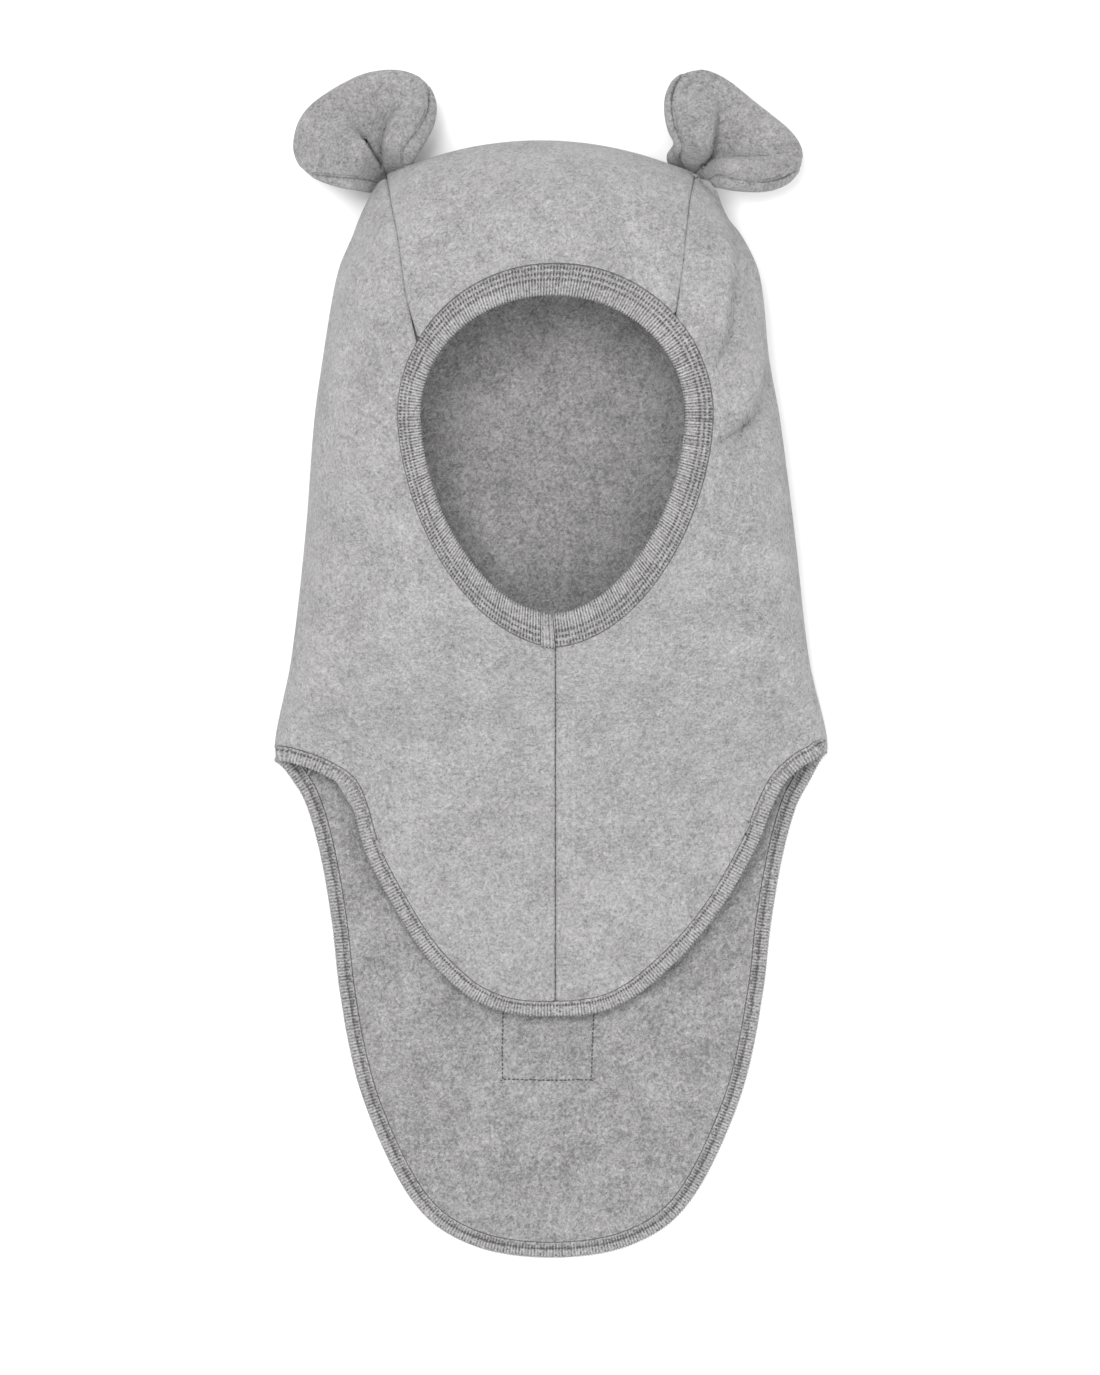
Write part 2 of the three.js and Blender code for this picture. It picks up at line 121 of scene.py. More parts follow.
def waves(x, y):
    return sum(height * np.sin((x * np.cos(way) + y * np.sin(way)) * 2 * np.pi / length + phase)
               for length, height, way, phase in WAVES)


# Creases of the upper layer: the line, the height of its lip, how deep the cloth dips beyond the lip,
# how far both reach, how sharp the lip is, and how much of the rise at its start is left out, in
# stations. The lip is to the right of the line as it runs.
CREASES = [
    {"line": [(53, 216), (57, 206), (63, 198.5), (67.5, 194), (73, 184), (75.5, 171), (74.8, 158),
              (72, 139), (66, 121), (60, 110)],
     "lip": 5, "dip": 8, "reach": 9, "sharp": 3, "head_start": 16},
    {"line": [(94, 160), (91.5, 141), (90.2, 131), (88.4, 121), (84.6, 109), (77.5, 100), (67, 92.5),
              (60, 88)],
     "lip": 6, "dip": 11, "reach": 9, "sharp": 2.3, "head_start": 12},
    {"line": [(90, 178), (84, 172), (79.5, 160), (81, 146), (84, 130)],
     "lip": 3.5, "dip": 5, "reach": 7, "sharp": 3, "head_start": 6},
    {"line": [(-66, 112), (-72, 130), (-79, 145), (-84, 160)],
     "lip": 2.2, "dip": 3.4, "reach": 11, "sharp": 5, "head_start": 0},
]


CREASE_STEPS, CREASE_FADE = 60, 16  # stations along a crease, and how many of them each end fades over
CREASE_FIELD = 80  # how far from its middle a crease is reckoned


def beside(line, points):
    """How far points are to the right of a line as it runs, and the station that each is nearest to."""
    away = points[:, None] - line[None]
    nearest = (away**2).sum(2).argmin(1)
    way = np.gradient(line, axis=0)[nearest]
    off = away[np.arange(len(nearest)), nearest]
    side = np.sign(way[:, 1] * off[:, 0] - way[:, 0] * off[:, 1])
    return np.linalg.norm(off, axis=1) * side, nearest


def past(distance, sharp):
    """0 on one side of a line and 1 on the other, changing over about the distance sharp."""
    return 1 / (1 + np.exp(np.clip(-4 * distance / sharp, -30, 30)))


def creases(x, y):
    """The heights that the creases add over the plan."""
    total = np.zeros(x.size)
    plan = np.column_stack([x.ravel(), y.ravel()])
    for crease in CREASES:
        line = at_shares(line_through(crease["line"]), np.linspace(0, 1, CREASE_STEPS))
        close = np.abs(plan - line.mean(0)).max(1) < CREASE_FIELD
        distance, nearest = beside(line, plan[close])
        to_end = np.minimum(nearest + crease["head_start"], CREASE_STEPS - 1 - nearest)
        fade = np.clip(to_end / CREASE_FADE, 0, 1) ** 2
        inside = past(distance, crease["sharp"])
        reach = np.exp(-np.abs(distance) / crease["reach"])
        total[close] += fade * reach * (inside * crease["lip"] - (1 - inside) * crease["dip"])
    return total.reshape(x.shape)


def upper(x, y):
    """The middle of the upper layer of cloth over the plan. The creases fade out close to the folds."""
    across = (x - middle(y)) / half_width(y)
    over = rounded(crown_edge(x) - y, CROWN["roll"])
    rim = over * rounded(half_width(y) * (1 - np.abs(across)), depth(y, "roll"))
    dome = (depth(y, "crest") - depth(y, "side")) * (1 - across**2) * over
    edge = depth(y, "fold")
    height = edge + (depth(y, "side") - edge) * rim + dome
    height = height + creases(x, y) * np.minimum(2.5 * rim, 1) + waves(x, y) * rim
    return np.stack([x, y, height], -1)


def lower(x, y):
    """The middle of the lower layer, which lies flat and rolls up to the folds."""
    across = (x - middle(y)) / half_width(y)
    over = rounded(crown_edge(x) - y, depth(y, "roll"))
    rim = over * rounded(half_width(y) * (1 - np.abs(across)), depth(y, "roll"))
    lying = FLEECE / 2 + 0.25 * (waves(x, y) + 1.5)
    return np.stack([x, y, depth(y, "fold") + (lying - depth(y, "fold")) * rim], -1)


def filled(left, right, first, last, fade=1):
    """A grid of points between four edges; left and right have a point for each row.

    Straight rows from left to right take up the bends of first and last, less the further they are.
    """
    s = np.linspace(0, 1, len(left))[:, None, None]
    t = np.linspace(0, 1, len(first))[None, :, None]
    bends = [edge - (edge[0] * (1 - t) + edge[-1] * t) for edge in (first, last)]
    return left[:, None] * (1 - t) + right[:, None] * t + bends[0] * (1 - s) ** fade + bends[1] * s**fade


def unit(vectors):
    return vectors / np.maximum(np.linalg.norm(vectors, axis=-1, keepdims=True), 1e-9)


def cells(index):
    """The quads of a grid of point numbers."""
    return np.stack([index[:-1, :-1], index[1:, :-1], index[1:, 1:], index[:-1, 1:]], -1).reshape(-1, 4)


SEAM_ROLL = 0.75  # radius of the middle of the cloth where an edge turns in
SEWN = 0.55  # half the thickness of the cloth pressed in a seam
RUN_ON = 3.2  # how far an edge runs on flat under a binding
RUN_BESIDE_SEAM = 0.9  # how far it does where it begins to turn in
EVEN = 14  # rows and columns in from its edges, a grid is surely even


def wall(grid, turned_in, outside, allowance=3.0, normals=None, seam_groove_shade=0.0):
    """A closed cloth around a grid of points in its middle.

    turned_in says for the first row, last column, last row and first column whether that edge turns
    in at a seam, with 1, or runs on flat under a binding, with 0. A list gives each point its own.
    outside is 1 where rows x columns face out, and -1 where they face in. allowance is the width of
    cloth turned in. The last argument gives the turned-in edges their shading: painted shade of the
    seam groove, where the pile is also pressed down. The inner face is shaded 1, painted shade. Normals
    that aren't given come from the grid. Where it is folded over at an edge they follow those further
    in, and one that stands out from its neighbours along the edge is put level with them.
    """
    rows, columns = grid.shape[:2]
    if normals is None:
        normals = unit(np.cross(np.gradient(grid, axis=0), np.gradient(grid, axis=1)))
        within = normals[np.clip(np.arange(rows), EVEN, rows - 1 - EVEN)]
        within = within[:, np.clip(np.arange(columns), EVEN, columns - 1 - EVEN)]
        folded = (normals * within).sum(-1, keepdims=True) < 0
        normals = np.where(folded, -normals, normals)
    half = FLEECE / 2
    index = np.arange(rows * columns).reshape(rows, columns)
    sides = index[0, :-1], index[:-1, -1], index[-1, :0:-1], index[:0:-1, 0]
    border = np.concatenate(sides)
    turn = np.concatenate([np.broadcast_to(t, len(side) + 1)[:-1] for t, side in zip(turned_in, sides)])
    points, normals = grid.reshape(-1, 3), normals.reshape(-1, 3).copy()
    around = unit(sum(np.roll(normals[border], k, 0) for k in (-5, -4, -3, 3, 4, 5)))
    wrong = (normals[border] * around).sum(-1) < 0.9
    normals[border[wrong]] = around[wrong]
    edge = points[border]
    out = unit(np.cross(normals[border], np.roll(edge, -1, 0) - np.roll(edge, 1, 0)))
    normals = normals * outside
    up = normals[border]
    outer, inner = [points + normals * half], [points - normals * half]
    for share in (0.25, 0.5, 0.75, 1, 2):  # 1 is the end of the turn, 2 the raw edge
        angle = np.minimum(share, 1) * np.pi / 2 * turn[:, None]
        part_turned = SEAM_ROLL * np.sin(angle) + (1 - turn[:, None]) * min(share, 1) * RUN_BESIDE_SEAM
        run = np.where(turn[:, None] > 0, part_turned, share / 2 * RUN_ON)
        drop = SEAM_ROLL * (1 - np.cos(angle)) + (share > 1) * allowance * turn[:, None]
        facing = up * np.cos(angle) + out * np.sin(angle)
        thick = half + (SEWN - half) * min(share, 1) ** 1.5
        spot = edge + out * run - up * drop
        outer.append(spot + facing * thick)
        inner.append(spot - facing * thick)
    rings = [border] + [rows * columns + k * len(border) + np.arange(len(border)) for k in range(5)]
    rings = np.stack([np.append(ring, ring[0]) for ring in rings])
    skin = np.concatenate([cells(index), cells(rings[:, ::-1])])
    count = sum(len(part) for part in outer)
    end = np.stack([rings[-1], rings[-1] + count])
    faces = np.concatenate([skin[:, ::outside], skin[:, ::-outside] + count, cells(end)[:, ::-outside]])
    # Painted shade: the inner face gets 1, and the turned-in edges get the shade given for the seam
    # groove.
    painted_shading = np.repeat([0.0, 1.0], count)
    painted_shading[rows * columns + len(border):count] = seam_groove_shade
    return np.concatenate(outer + inner), faces, painted_shading


CENTRE_OF_BOX = np.array([-0.17, -0.23, 0])  # of the outline above, put at the frame's middle


def hat_piece(name, mesh_parts, finish, nodes=()):
    """An object of the hat from points in millimetres and faces, in its finish and its place.

    The third part, a number for each point, goes to the finish as painted shading. On fleece it is 0
    outside, 1 on the inner face, painted shade for the hollow of the hood and under the bib, and more
    on turned-in seam edges, painted shade of the seam groove where the pile is pressed down. On
    ribbing it is painted highlight on the ribs and painted shade between them, in the stitches and
    at the edges.
    """
    points, faces, painted_shading = mesh_parts
    mesh = bpy.data.meshes.new(name)
    points = (points - CENTRE_OF_BOX) / 1000
    points[:, 2] = np.maximum(points[:, 2], 0)
    mesh.from_pydata(points.tolist(), [], [list(face) for face in faces])
    mesh.shade_smooth()
    mesh.attributes.new("painted_shading", "FLOAT", "POINT").data.foreach_set("value", painted_shading)
    mesh.materials.append(finish.material)
    piece = bpy.data.objects.new(name, mesh)
    bpy.context.scene.collection.objects.link(piece)
    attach(piece, "root")
    if nodes:
        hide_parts(*nodes)
    return piece


FACE_LEVEL = 104
FACE_OUTER = {"x": 1.7, "half": 65.5, "above": 62.5, "below": 96.5}
FACE_POINTEDNESS = 1.8  # at 2 the part below that level would be half an ellipse


def face_edge(edge, angle, out=0):
    """Points of an edge of the face opening; the angle is 0 at the wearer's left, a quarter on top."""
    c, s = np.cos(angle), np.sin(angle)
    power = np.where(s >= 0, 1, 2 / FACE_POINTEDNESS)
    x = edge["x"] + (edge["half"] + out) * np.sign(c) * np.abs(c) ** power
    reach = np.where(s >= 0, edge["above"] + out, edge["below"] + out)
    return np.stack([x, FACE_LEVEL + reach * np.sign(s) * np.abs(s) ** power], -1)


def face_angle(x, on_top):
    """The angle at which the outer edge of the face band stands over x."""
    angles = np.linspace(np.pi, 0, 4000) if on_top else np.linspace(-np.pi, 0, 4000)
    return np.interp(x, face_edge(FACE_OUTER, angles)[:, 0], angles)


FOREHEAD_SEAMS = {
    1: [(52, 143), (54.6, 166), (56, 180), (57.5, 193), (59.7, 204)],
    -1: [(-56, 140), (-60.5, 154), (-63.5, 176), (-66, 189), (-68.7, 204)],
}
BACK_SEAM = [(64.2, 204), (62, 180), (60, 120), (60, 60), (66, 22), (84, -8)]
CHIN_SEAM = 1.7
TUCK = SEAM_ROLL + SEWN + 0.04  # from a seam line to where the cloth starts to turn in
UNDER_BAND = 0.5  # how far within an outer edge of ribbing the fleece starts to run on
SEAM_UNDER_BAND = 1.2  # how much further in the forehead seams start


def junction(hand, away):
    """The angle where a forehead seam, moved away from the middle, meets the face band."""
    return face_angle(FOREHEAD_SEAMS[hand][0][0] + hand * away, True)


def forehead_seam(hand, away, shares):
    """A forehead seam from the face band up to the crown, moved away from the middle."""
    first = face_edge(FACE_OUTER, junction(hand, away), UNDER_BAND - SEAM_UNDER_BAND)
    rest = np.array(FOREHEAD_SEAMS[hand][1:]) + [hand * away, 0]
    return at_shares(line_through([first, *rest]), shares)


BIB_EDGES = {  # half of the lower edge in front, from under the chin to the shoulder
    1: [(1.7, -147.4), (14, -146.7), (26, -143.8), (40, -135.5), (58, -118.5), (73, -99), (86, -76),
        (92, -60.8), (97.5, -50), (104.5, -43.2), (111, -39.5), (115.3, -37.5)],
    -1: [(1.7, -147.4), (-12, -147), (-24, -144.3), (-37, -137.5), (-53, -121.7), (-67, -99.5),
         (-77.5, -79.5), (-82.7, -61.5), (-87, -52), (-95.3, -46.2), (-106, -42), (-115.3, -41)],
}
FLAP_EDGE = [(107.5, -50.5), (103, -59), (99, -72), (95.5, -88), (92, -110), (88.5, -140),
             (79, -182.6), (58.5, -225), (34, -243.5), (0, -249)]
HEM = 6.8  # width of the binding
HEM_STEPS = 12  # from one point of the lower edge to the next
SEAM_END = len(BIB_EDGES[1]) * HEM_STEPS  # where the back seam meets the lower edge


def hem_line(hand, inward):
    """Half of the lower edge, as distances across the front and on across the back."""
    bib = [(hand * (x - middle(y)), y) for x, y in BIB_EDGES[hand]]
    flap = [(2 * half_width(y) - x, y) for x, y in FLAP_EDGE]
    before = (2 * bib[0][0] - bib[1][0], bib[1][1])
    after = (2 * flap[-1][0] - flap[-2][0], flap[-2][1])
    line = line_through([before, *bib, *flap, after], HEM_STEPS)
    way = unit(np.gradient(line, axis=0))
    line += inward * np.column_stack([-way[:, 1], way[:, 0]])
    return line[HEM_STEPS:-HEM_STEPS]


PANEL_HEM = {hand: hem_line(hand, HEM - UNDER_BAND) for hand in (1, -1)}


def back_seam(hand, away, shares):
    """The seam down one side of the back, as distances from the middle."""
    x, y = PANEL_HEM[hand][SEAM_END]
    points = [*BACK_SEAM, (2 * half_width(y) - x, y)]
    return at_shares(line_through(points) + [away, 0], shares)


BROW_COLUMNS = 66
FOREHEAD_ROWS = 60
BACK_ROWS = 200
across_brow = np.linspace(junction(-1, -TUCK), junction(1, -TUCK), BROW_COLUMNS)
up_forehead = np.sin(np.linspace(0, np.pi / 2, FOREHEAD_ROWS))
right_edge, left_edge = (forehead_seam(hand, -TUCK, up_forehead) for hand in (-1, 1))
brow = face_edge(FACE_OUTER, across_brow, UNDER_BAND)
brow[0], brow[-1] = right_edge[0], left_edge[0]
crown_x = np.linspace(right_edge[-1, 0], left_edge[-1, 0], BROW_COLUMNS)
crown = np.column_stack([crown_x, crown_edge(crown_x)])
forehead = filled(right_edge, left_edge, brow, crown)
forehead = upper(forehead[..., 0], forehead[..., 1])

# Down the back the rows start close together, where the cloth rolls over the crown.
down_back = 0.001 + 0.999 * np.linspace(0, 1, BACK_ROWS) ** 1.9
back_edges = []
for hand in (-1, 1):
    seam = back_seam(hand, -TUCK, down_back)
    flap = PANEL_HEM[hand][SEAM_END + 1:]
    flap = np.column_stack([2 * half_width(flap[:, 1]) - flap[:, 0], flap[:, 1]])
    half_edge = np.concatenate([seam, flap])
    half_edge[:, 0] = middle(half_edge[:, 1]) + hand * half_edge[:, 0]
    back_edges.append(half_edge)
END = BROW_COLUMNS // 2
right_edge, left_edge = back_edges
rows = len(left_edge) - END
end = np.concatenate([right_edge[rows - 1:-1], left_edge[rows - 1:][::-1]])
end = at_shares(end, np.linspace(0, 1, BROW_COLUMNS))
flap_sides = [np.concatenate([corner, edge[:rows]])
              for corner, edge in ((crown[:1], right_edge), (crown[-1:], left_edge))]
flap = filled(*flap_sides, crown, end)
flap = lower(flap[..., 0], flap[..., 1])
centre = np.concatenate([forehead, flap[1:]])


class Wire:
    """A socket of a material, on which numbers and other wires can be reckoned."""

    def __init__(self, finish, socket):
        self.finish, self.socket = finish, socket

    def reckon(self, operation, first, second):
        return self.finish.node("ShaderNodeMath", {"operation": operation}, {0: first, 1: second})

    def __add__(self, other):
        return self.reckon("ADD", self, other)

    def __mul__(self, other):
        return self.reckon("MULTIPLY", self, other)

    def __sub__(self, other):
        return self.reckon("SUBTRACT", self, other)

    def __rsub__(self, other):
        return self.reckon("SUBTRACT", other, self)

    __radd__, __rmul__ = __add__, __mul__


class Finish:
    """A material made of nodes, ending in one shader."""

    def __init__(self, name, roughness, sheen, sheen_roughness):
        self.material = bpy.data.materials.new(name)
        self.material.use_nodes = True
        self.tree = self.material.node_tree
        self.tree.nodes.clear()
        self.shader = self.tree.nodes.new("ShaderNodeBsdfPrincipled")
        self.shader.inputs["Roughness"].default_value = roughness
        self.shader.inputs["Sheen Weight"].default_value = sheen
        self.shader.inputs["Sheen Roughness"].default_value = sheen_roughness
        self.shader.inputs["Specular IOR Level"].default_value = 0.2
        output = self.tree.nodes.new("ShaderNodeOutputMaterial")
        self.tree.links.new(self.shader.outputs[0], output.inputs[0])

    def connect(self, socket, value):
        if isinstance(value, Wire):
            self.tree.links.new(value.socket, socket)
        else:
            socket.default_value = value

    def node(self, kind, settings, sockets, output=None):
        """Adds a node with its settings, then the values or wires of its sockets."""
        node = self.tree.nodes.new(kind)
        for key, value in settings.items():
            setattr(node, key, value)
        for key, value in sockets.items():
            if isinstance(key, int):
                socket = node.inputs[key]
            else:
                socket = next(s for s in node.inputs if s.name == key and s.enabled)
            self.connect(socket, value)
        named = (s for s in node.outputs if s.enabled and output in (None, s.name))
        return Wire(self, next(named))

    def place(self, stretch=(1, 1, 1), turn=0.0):
        """Coordinates of the object, turned about the up axis, then stretched."""
        at = self.node("ShaderNodeTexCoord", {}, {}, "Object")
        return self.node("ShaderNodeMapping", {"vector_type": "TEXTURE"}, {
            "Vector": at, "Rotation": (0, 0, turn), "Scale": stretch})

    def noise(self, size, detail=2.0, stretch=(1, 1, 1), turn=0.0, curl=0.0):
        """Noise from 0 to 1 with features of a size in millimetres."""
        return self.node("ShaderNodeTexNoise", {}, {
            "Vector": self.place(stretch, turn), "Scale": 1000 / size, "Detail": detail,
            "Distortion": curl}, "Fac")

    def shade(self, dark, light, amount):
        """The colour between two, by a wire that runs from 0 to 1."""
        return self.node("ShaderNodeMix", {"data_type": "RGBA"}, {
            "Factor": amount, "A": (*dark, 1), "B": (*light, 1)})

    def relief(self, height, distance, strength=1.0):
        """Fine relief of the surface, of a height in millimetres."""
        return self.node("ShaderNodeBump", {}, {
            "Height": height, "Distance": distance / 1000, "Strength": strength})


def brushed_fleece(name, dark, light):
    """Grey melange wool with a felted, brushed pile of short fibres lying every way.

    The inner face is a little darker, painted shade for the hollow of the hood and under the bib, and
    a turned-in seam edge is darker still, painted shade of the seam groove where the pile is pressed.
    """
    finish = Finish(name, 0.95, 0.25, 0.6)
    inside = finish.node("ShaderNodeAttribute", {"attribute_name": "painted_shading"}, {}, "Fac")
    strands = [finish.noise(1.2, 2, (1, 3.2, 1), turn, 1.5) for turn in (-0.7, 0.35, 1.6)]
    fibres = (strands[0] + strands[1] + strands[2]) * (1 / 3)
    grain = finish.noise(1.1, 3, curl=0.8)
    melange = finish.noise(3.4, 3, curl=0.6)
    cloud = finish.noise(17, 3)
    uneven = fibres * 1.9 + grain * 1.15 + melange * 0.5 + cloud * 0.5 - 2.025
    # Painted shade: the inner face and turned-in seam edges are darkened by the shading attribute.
    mixture = uneven * (inside * 0.1 + 1) + 0.5 - inside * 0.15
    finish.connect(finish.shader.inputs["Base Color"], finish.shade(dark, light, mixture))
    finish.connect(finish.shader.inputs["Normal"], finish.relief(fibres * 1.5 + grain, 1.1, 0.9))
    return finish


fleece = brushed_fleece("brushed_fleece", (0.14, 0.137, 0.139), (0.455, 0.446, 0.45))
# Below the end of the back seams the edges stop turning in over three rows, to run on under the hem.
beside_seams = np.clip((FOREHEAD_ROWS + BACK_ROWS - np.arange(len(centre))) / 3, 0, 1)
centre_panel = hat_piece(
    "centre_panel_cloth", wall(centre, (0, beside_seams, 0, beside_seams[::-1]), -1), fleece,
    ["centre_panel", "back_flap"])

# ---- Side panels ----
# Two mirrored panels of the same fleece wrap the cheeks from the seams of the centre panel to the
# front. They are sewn together under the chin and are cut round below it to make the bib.

FACE_ROWS, CHIN_ROWS = 126, 70
SEAM_COLUMNS, EAR_COLUMNS = 118, 68
CUFF = np.sin(np.radians(75))  # share of the forehead seam below the ear
CHIN_TUCK = TUCK + 0.1


def turn_at(distance, y):
    """The turn round half of the tube, 0 in front, 1 at the fold and 2 behind, at a distance."""
    past = distance > half_width(y)
    on_layer = np.where(past, 2 * half_width(y) - distance, distance)
    turn = np.arcsin(np.clip(on_layer / half_width(y), -1, 1)) * 2 / np.pi
    return np.stack([np.where(past, 2 - turn, turn), y], -1)


def turned(turn, y, hand):
    x = middle(y) + hand * half_width(y) * np.sin(turn * np.pi / 2)
    return np.where((turn <= 1)[..., None], upper(x, y), lower(x, y))


def side_panel(hand):
    def on_front(points):
        return turn_at(hand * (points[:, 0] - middle(points[:, 1])), points[:, 1])

    top = on_front(forehead_seam(hand, TUCK, CUFF * np.sin(np.linspace(0, np.pi / 2, SEAM_COLUMNS))))
    seam = back_seam(hand, TUCK, 0.02 + 0.98 * (1 - np.linspace(1, 0, FACE_ROWS + CHIN_ROWS) ** 1.6))
    back = turn_at(2 * half_width(seam[:, 1]) - seam[:, 0], seam[:, 1])
    under_ear = top[-1] + np.linspace(0, 1, EAR_COLUMNS + 1)[1:, None] * (back[0] - top[-1])
    first = np.concatenate([top, under_ear])

    hem = PANEL_HEM[hand][:SEAM_END + 1]
    start_x = CHIN_TUCK + hand * (CHIN_SEAM - middle(hem[0, 1]))
    start_y = np.interp(start_x, *hem[:HEM_STEPS].T)
    hem = np.concatenate([[(start_x, start_y)], hem[hem[:, 0] > start_x + 0.1]])
    hem = at_shares(hem, np.linspace(0, 1, len(first)))
    last = turn_at(hem[:, 0], hem[:, 1])
    last[-1] = back[-1]

    seam_x = CHIN_SEAM + hand * CHIN_TUCK
    chin_angle = face_angle(seam_x, False) + (0 if hand > 0 else 2 * np.pi)
    cheek = face_edge(FACE_OUTER, np.linspace(junction(hand, TUCK), chin_angle, FACE_ROWS), UNDER_BAND)
    chin_y = np.linspace(cheek[-1, 1], start_y, CHIN_ROWS + 1)[1:]
    cheek = on_front(np.concatenate([cheek, np.column_stack([np.full(CHIN_ROWS, seam_x), chin_y])]))
    cheek[0], cheek[-1] = first[0], last[0]
    grid = filled(cheek, back, first, last, 3)
    grid = turned(grid[..., 0], grid[..., 1], hand)

    # The chin seam and the back seam both stop turning in close to the hem.
    up_chin = np.arange(FACE_ROWS + CHIN_ROWS)
    at_chin = np.clip((up_chin + 1) / 3, 0, 1) * (up_chin < CHIN_ROWS)
    at_back = np.clip(up_chin[::-1] / 12, 0, 1)
    return wall(grid, (1, at_back, 0, at_chin), hand)


for side, hand in (("left", 1), ("right", -1)):
    panel = hat_piece(f"side_panel_{side}_cloth", side_panel(hand), fleece,
                      [f"side_panel_{side}"])

# ---- Face band ----
# A strip of fine ribbing in the same grey binds the face opening. It is folded over the raw edge of
# the fleece with its ribs running across the fold, and coverstitched through all layers.

FACE_INNER = {"x": 0.6, "half": 55, "above": 49, "below": 83}
LAP = {"left": 1.6, "right": -4.2}  # where the ends of the band are joined
RIB = 4  # stations to each rib
FACE_RIBS, LAP_RIBS = 320, 4


def strip_section(half, ply, in_front, at_fold, behind, thin_lining):
    """The section of a strip folded over an edge: share of its width, lift and facing."""
    angles = np.linspace(np.pi / 2, 3 * np.pi / 2, at_fold + 2)[1:-1]
    skin = np.array([(share, 0, half, 0, 1) for share in np.linspace(1, 0, in_front)]
                    + [(0, half * (1 + np.cos(a)), half * np.sin(a), np.cos(a), np.sin(a)) for a in angles]
                    + [(share, 0, -half, 0, -1) for share in np.linspace(0, 1, behind)])
    lining = skin[::2 if thin_lining else 1][::-1].copy()
    lining[:, 1:3] -= ply * lining[:, 3:]
    return skin, lining


def folded_strip(inner, outer, half, ply, points, relief, closed):
    """A strip folded over an edge, from stations of its fold and of its open edges."""
    both = inner + outer
    along = np.roll(both, -1, 0) - np.roll(both, 1, 0)
    if not closed:
        along[[0, -1]] = both[[1, -1]] - both[[0, -2]]
    across = outer - inner
    width = np.linalg.norm(across, axis=1)[:, None]
    across = across / width
    up = unit(np.cross(along, across))
    uneven = np.repeat(rng.uniform(0.65, 1.2, len(inner) // RIB + 1), RIB)[:len(inner)]
    wave = (uneven * np.cos(np.arange(len(inner)) * 2 * np.pi / RIB))[:, None]
    skin, lining = strip_section(half, ply, *points, closed)
    rings, painted_shades = [], []
    for section, outside in ((skin, 1), (lining, 0)):
        share, run, lift, facing_across, facing_up = section.T
        reach = np.where(facing_across != 0, run, half + share * (width - half))
        # relief gives each point its lift and its painted shading; the lining gets none.
        lifted, shade = relief(reach / width, facing_up >= -0.01, wave)
        lifted = lifted * outside
        away = np.stack([reach + facing_across * lifted, lift + facing_up * lifted], -1)
        rings.append(inner[:, None] + across[:, None] * away[..., :1] + up[:, None] * away[..., 1:])
        painted_shades.append(shade * outside + 0 * reach)
    rings = np.concatenate(rings, 1)
    count, size = rings.shape[:2]
    index = np.arange(count * size).reshape(count, size)
    index = np.concatenate([index, index[:, :1]], 1)
    if closed:
        index = np.concatenate([index, index[:1]])
    faces = cells(index)[:, ::-1]
    if not closed:
        for ring, order in ((index[0, :size], -1), (index[-1, :size], 1)):
            front, back = ring[:len(skin)], ring[len(skin):][::-1]
            caps = np.stack([front[:-1], front[1:], back[1:], back[:-1]], -1)
            faces = np.concatenate([faces, caps[:, ::order]])
    return rings.reshape(-1, 3), faces, np.concatenate(painted_shades, 1).ravel()


def dots(share, row, wave, size=0.04):
    """Where the needles pull the strip down, between its ribs."""
    return np.exp(-(((share - row) / size) ** 2)) * np.clip((1 - wave) / 2, 0, 1) ** 1.2


def face_band_relief(share, in_front, wave):
    """The height of the ribs and stitches, and their painted shading: painted highlight on the ribs
    and painted shade between them, in the stitch rows and at the edge.
    """
    ribbed = np.clip((0.44 - share) / 0.06 + 0.5, 0.3, 1) * wave
    sewn = sum(dots(share, row, wave) for row in (0.49, 0.67, 0.85))
    edge = np.clip((share - 0.9) / 0.1, 0, 1) ** 2
    # The second value is painted shading: lighter ribs, with painted shade in the stitch rows and at the
    # edge.
    return 0.34 * ribbed - 0.7 * sewn - 0.7 * edge, 0.3 * ribbed - 0.75 * sewn - 0.8 * edge


def stations(edges, count):
    """Stations shared by two lines, evenly spaced along the first."""
    length = np.concatenate([[0], np.cumsum(np.linalg.norm(np.diff(edges[0], axis=0), axis=1))])
    at = np.linspace(0, length[-1], count)
    return [np.column_stack([np.interp(at, length, column) for column in line.T]) for line in edges]


def rib_knit(name, dark, light):
    """Fine rib knit of the same melange yarn, with painted shade down between its ribs, in its stitches
    and at its edges, and painted highlight on the ribs.
    """
    finish = Finish(name, 0.92, 0.15, 0.5)
    grain = finish.noise(0.8, 3)
    loops = finish.noise(1.6, 2, (1, 1, 1), 0.7)
    cloud = finish.noise(14, 2)
    painted_rib_shading = finish.node("ShaderNodeAttribute", {"attribute_name": "painted_shading"}, {}, "Fac")
    # The shading attribute paints highlight on the ribs and shade between them, in the stitches and at the
    # edges.
    mixture = grain * 1.4 + loops * 0.7 + cloud * 0.3 + painted_rib_shading * 1.1 - 0.75
    finish.connect(finish.shader.inputs["Base Color"], finish.shade(dark, light, mixture))
    finish.connect(finish.shader.inputs["Normal"], finish.relief(grain + loops, 0.5, 0.6))
    return finish


ribbing = rib_knit("rib_knit", (0.075, 0.073, 0.075), (0.47, 0.461, 0.465))
start = face_angle(LAP["left"] + 0.4, False)
finish_angle = face_angle(LAP["right"] - 0.4, False) + 2 * np.pi
round_face = np.linspace(finish_angle, start, 3000)
band_edges = stations([face_edge(edge, round_face) for edge in (FACE_INNER, FACE_OUTER)],
                      RIB * FACE_RIBS + 1)
band_inner, band_outer = (upper(*edge.T) for edge in band_edges)
face_band = hat_piece(
    "face_band_strip",
    folded_strip(band_inner, band_outer, 1.8, 1.25, (22, 5, 4), face_band_relief, False),
    ribbing, ["face_band"])

# ---- Lap of the face band ----
# Where the ends of the strip meet under the chin, one end is folded over the other as a small tab of
# the same ribbing. It is a little longer than the band is wide.


